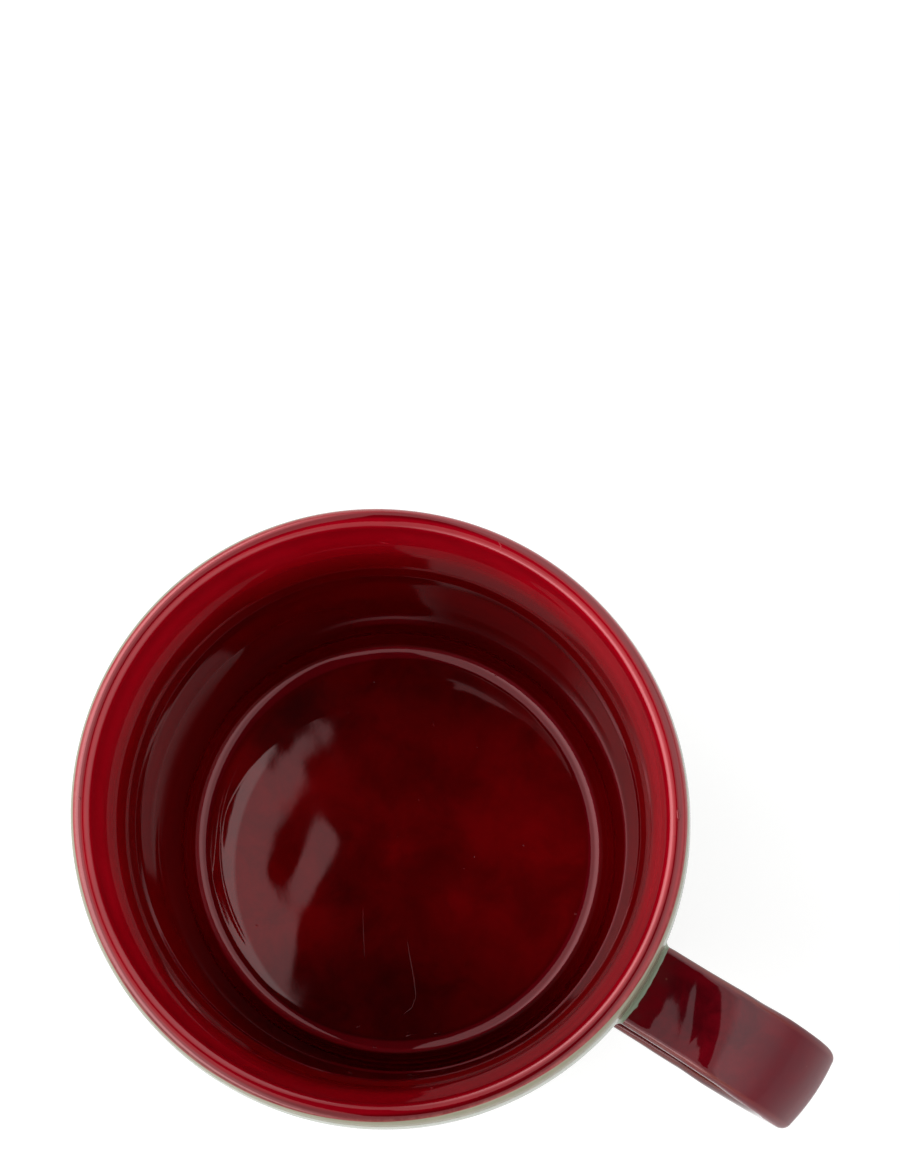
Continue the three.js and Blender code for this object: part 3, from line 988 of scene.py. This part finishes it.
# Painted reflection: a dark line along the lip's crest stands for the dark overhead that the crest mirrors.
crest_dark_reflection = (red.within(from_middle, LIP_MIDDLE - 0.3, LIP_MIDDLE + 0.6, 0.5)
              * red.rise(level, HEIGHT - 1.2, HEIGHT - 0.5))
red.shade(1 - 0.5 * crest_dark_reflection)
patches = red.cloud(11, detail=6, roughness=0.6, seed=2.0, warp=0.4)
rings_round = red.cloud(9, detail=3, seed=5.0, stretch=(0.3, 0.3, 3.2))
# Painted shade: the floor is darker towards its edge on the near and far sides.
floor_edge_shade = red.rise(from_middle, 12, 33) * on_floor * red.rise(to_near * to_near, 0.15, 0.7)
cloudy = patches + (red.rise(patches, 0.3, 0.7) - patches) * on_floor
depth_of_tone = (0.55 + 0.66 * cloudy + 0.22 * rings_round) * (1 - 0.4 * floor_edge_shade)
for across, upward, wide, deep in POOLS:
    pool_middle = picture_right * across + picture_up * upward
    away = red.length(flat - tuple(pool_middle)) + 5 * (patches - 0.5)
    depth_of_tone = depth_of_tone * (1 - deep * (1 - red.rise(away, 0, wide * 1.3)) * on_floor)
flecks = red.gathered(5.0, 0.22, 0.3, 9, 8.0, low=0.5)
red.shade(depth_of_tone * (1 - 0.6 * flecks))
ragged = red.cloud(2.2, detail=5, roughness=0.7, seed=3.0)
lap_line = 45.05 - 0.62 * red.rise(to_near + 0.45 * to_left, 0.0, 0.95) + 0.2 * (ragged - 0.5)
near_lip = red.rise(level, HEIGHT - 4, HEIGHT - 3)
lapped = red.rise(from_middle - lap_line, -0.06, 0.1) * near_lip
thin_lip = red.rise(from_middle - lap_line, -0.7, 0.0) * red.rise(ragged, 0.35, 0.8) * near_lip
red.tint(thin_lip * 0.7, WORN_LIP)
red.tint(lapped, red.between(ragged, LAP_DARK, LAP_PALE))
skin = red.cloud(1.1, detail=3, roughness=0.6, seed=4.0)
pits = red.dots(6.5, 0.28, seed=0.9)
bumps = red.dimpled(skin, 0.0012, red.dimpled(1 - pits, 0.02))
thick_middle = picture_right * 2.9 - picture_up * 3.5
from_thick = red.length(flat - tuple(thick_middle))
thick_edge = red.rise(from_thick, 32.4, 33.2) * red.rise(to_left, 0.2, 0.5) * on_floor
roughness = 0.014 + 0.03 * red.cloud(6, detail=4, seed=6.0) + 0.2 * lapped
red.feed(Base_Color=red.tone, Roughness=roughness, Normal=bumps, Coat_Weight=thick_edge)
low_left = (1 - red.rise(level, HEIGHT - 60, HEIGHT - 37)) * red.rise(to_left, 0.0, 0.4)
far_right = ((1 - red.rise(level, HEIGHT - 34, HEIGHT - 29))
             * red.rise(-to_near, 0.5, 0.72) * red.rise(-to_left, 0.0, 0.3))
beside_ring = (red.within(from_middle, 32.4, 34.75, 0.3)
               * red.rise(-to_near, 0.35, 0.55) * red.rise(-to_left, 0.1, 0.3))
on_wall_dull = low_left.larger(far_right * 0.85) * red.rise(level, 12, 17)
dull_share = on_wall_dull.larger(beside_ring * on_floor * 0.8)
red.dull(dull_share, Base_Color=red.tone, Roughness=0.6, Specular_IOR_Level=0.05)
red.on(liner, *marks)
print("red glaze on", 1 + len(marks), "pieces")

# %% [markdown]
# ## The sage glaze
#
# The outer glaze is a pale grey-green, a little glossy. It breaks to buff where it thins over the lip and
# over edges, and gathers darker where it ran down above the foot. Iron in the clay bleeds through as small
# brown specks.

# %% Sage coat, slips and their breaks
DEEP_SAGE, PALE_SAGE, MILKY_SAGE = (0.275, 0.335, 0.22), (0.37, 0.42, 0.295), (0.50, 0.53, 0.40)
POOLED_SAGE, SLIP_SAGE, LIP_BUFF = (0.10, 0.15, 0.09), (0.12, 0.16, 0.10), (0.47, 0.37, 0.25)
IRON, IRON_HALO = (0.07, 0.035, 0.015), (0.30, 0.20, 0.11)
green = Finish("sage_glaze", IOR=1.5)
place = green.from_axis()
level = green.axis("Z", place)
from_middle = green.length(place * (1, 1, 0))
clouds = green.cloud(16, detail=5, roughness=0.6, seed=1.0, warp=0.6)
fine = green.cloud(1.6, detail=6, roughness=0.7, seed=2.0)
green.tone = green.between(green.rise(clouds, 0.2, 0.8), DEEP_SAGE, PALE_SAGE)
runs = green.cloud(5, detail=4, seed=6.0, stretch=(1, 1, 0.16))
green.shade(0.9 + 0.2 * runs)
green.tint(green.rise(fine, 0.45, 0.75) * 0.3, MILKY_SAGE)
crazed = green.cloud(0.5, detail=3, roughness=0.7, seed=8.0)
green.shade(0.88 + 0.24 * crazed)
pooled = (1 - green.rise(level, 5.5, 17)) * green.rise(clouds, 0.1, 0.7)
green.tint(pooled * 0.6, POOLED_SAGE)
on_slip = green.rise(green.axis("X", place), BODY_RADIUS + 0.1, BODY_RADIUS + 0.8)
green.tint(on_slip * (0.3 + 0.3 * fine), SLIP_SAGE)
over_lip = green.rise(level, HEIGHT - 3.4, HEIGHT - 1.4) * green.rise(fine, 0.25, 0.65)
green.tint(over_lip * 0.8, LIP_BUFF)
specks = green.gathered(2.6, 0.34, 0.2, 5, 9.0, low=0.42)
small_specks = green.gathered(1.1, 0.16, 0.5, 3, 7.0, low=0.5, high=0.62)
green.tint(specks.larger(small_specks) * 0.9, IRON)
halo = green.gathered(9.0, 1.3, 0.8, 6, 4.0)
green.tint(halo * 0.35, IRON_HALO)
orange_peel = green.cloud(1.8, detail=3, seed=3.0)
pits = green.dots(7.0, 0.4, seed=0.7)
green.feed(Base_Color=green.tone, Roughness=0.10 + 0.22 * green.cloud(5, detail=4, seed=5.0),
           Normal=green.dimpled(orange_peel, 0.02, green.dimpled(1 - pits, 0.06)))
green.on(coat, upper_slip, lower_slip)
print("sage glaze on 3 pieces")

# %% [markdown]
# ## Bare clay
#
# The wiped foot is buff stoneware: dry, a little sandy, with turning rings, dark iron specks, and a warm
# flush where the flame reached it beside the glaze.

# %% Clay
BUFF, PALE_BUFF, FLUSHED = (0.58, 0.47, 0.34), (0.66, 0.57, 0.44), (0.50, 0.27, 0.13)
SAND, IRON_SPECK = (0.40, 0.30, 0.20), (0.09, 0.05, 0.03)
bare = Finish("bare_clay", Specular_IOR_Level=0.25)
place = bare.from_axis()
from_middle = bare.length(place * (1, 1, 0))
grain = bare.cloud(0.7, detail=6, roughness=0.7)
wide = bare.cloud(12, detail=3, seed=1.0)
rings_turned = bare.node("ShaderNodeMath", {"operation": "SINE"}, _0=from_middle * 7 + wide * 3)
bare.tone = bare.between(wide, BUFF, PALE_BUFF)
bare.tint(bare.rise(from_middle, 36.5, 41) * 0.7, FLUSHED)
bare.tint(bare.rise(grain, 0.45, 0.75) * 0.4, SAND)
specks = bare.gathered(2.2, 0.36, 0.4, 4, 6.0)
bare.tint(specks * 0.8, IRON_SPECK)
height_now = 0.6 * grain + 0.25 * (rings_turned * 0.5 + 0.5) - specks * 0.4
bare.feed(Base_Color=bare.tone, Roughness=0.78 + 0.18 * grain, Normal=bare.dimpled(height_now, 0.12))
bare.on(clay)
print("clay on the foot")

# %% [markdown]
# ## The handle's glaze
#
# The strap was dipped in the red too, but thicker, so it fired to a deep maroon that shows no clay. It
# breaks lighter along its edges, partly a painted highlight, and has faint streaks along the pull. Its far
# end and its near side are worn to a duller skin, because the photograph shows no pale reflection there, and
# their colour there is moved towards a painted pinkish grey sheen.

# %% Maroon handle
WARM_MAROON, DARK_MAROON, ROOT_RED = (0.16, 0.0012, 0.006), (0.07, 0.0007, 0.0035), (0.24, 0.03, 0.03)
EDGE_BREAK_HIGHLIGHT, PALE_SPECK, SHEEN_MAROON = (0.34, 0.075, 0.05), (0.32, 0.12, 0.09), (0.19, 0.026, 0.038)
maroon = Finish("maroon_glaze", IOR=1.5, Specular_IOR_Level=0.6, Specular_Tint=(1.0, 0.72, 0.76))
place = maroon.from_axis()
mottle = maroon.cloud(4.5, detail=6, roughness=0.6, seed=3.0, warp=0.5)
streaks = maroon.cloud(3.0, detail=4, seed=4.0, stretch=(0.35, 2.2, 0.5))
maroon.tone = maroon.between(maroon.rise(mottle, 0.3, 0.7), WARM_MAROON, DARK_MAROON)
maroon.shade(0.8 + 0.4 * streaks)
pale_root = 1 - maroon.rise(maroon.axis("X", place), BODY_RADIUS + 1.0, BODY_RADIUS + 5.0)
maroon.tint(pale_root * maroon.rise(mottle, 0.3, 0.7) * 0.35, ROOT_RED)
ragged = maroon.cloud(1.2, detail=5, roughness=0.7, seed=8.0)
from_line = maroon.axis("Y", place) - STRAP_SHIFT
# Lighter along both edges: partly the glaze breaking there, partly a painted highlight.
edge = maroon.within(from_line.larger(-from_line) + 0.4 * (ragged - 0.5), 6.1, 6.65, 0.4)
maroon.tint(edge * 0.5, EDGE_BREAK_HIGHLIGHT)
specks = maroon.gathered(2.4, 0.24, 0.5, 6, 9.0, low=0.5)
maroon.tint(specks * 0.6, PALE_SPECK)
pits = maroon.dots(4.2, 0.3, seed=0.6)
ripple = maroon.cloud(1.4, detail=4, roughness=0.6, seed=5.0)
skin = maroon.dimpled(ripple, 0.004, maroon.dimpled(1 - pits, 0.05))
maroon.feed(Base_Color=maroon.tone, Roughness=0.03 + 0.06 * maroon.cloud(3, detail=4, seed=7.0), Normal=skin)
high = maroon.rise(maroon.axis("Z", place), 60, 68)
out_end = maroon.rise(maroon.axis("X", place), 62, 71) * high
near_side = maroon.rise(-from_line, 6.45, 6.65) * high
# Painted sheen: where the skin is duller its colour moves towards a pinkish grey in place of a reflection.
sheen_tone = maroon.between(0.6 + 0.3 * mottle, maroon.tone, SHEEN_MAROON)
dull_sheen_share = (out_end * 0.93).larger(near_side * 0.75)
maroon.dull(dull_sheen_share, Base_Color=sheen_tone, Roughness=0.45, Specular_IOR_Level=0.12)
maroon.on(handle)
print("maroon glaze on the handle")

# %% [markdown]
# ## What each piece stands for
#
# Each piece rides the mug's one body and replaces the imported solid that it dresses. The marks are part
# of the red liner.

# %% Riders, and the solids they hide
pieces = [(liner, "red_liner_glaze", ["liner_glaze"]), (coat, "green_glaze", ["outer_glaze"]),
          (clay, "bare_clay", ["cup_body"]), (handle, "red_handle_glaze", ["handle"]),
          (upper_slip, "green_glaze", ["upper_root_slip"]), (lower_slip, "green_glaze", ["lower_root_slip"])]
pieces += [(mark, "red_liner_glaze", []) for mark in marks]
for piece, slot_name, nodes in pieces:
    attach(piece, mug_body)
    if nodes:
        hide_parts(*nodes)
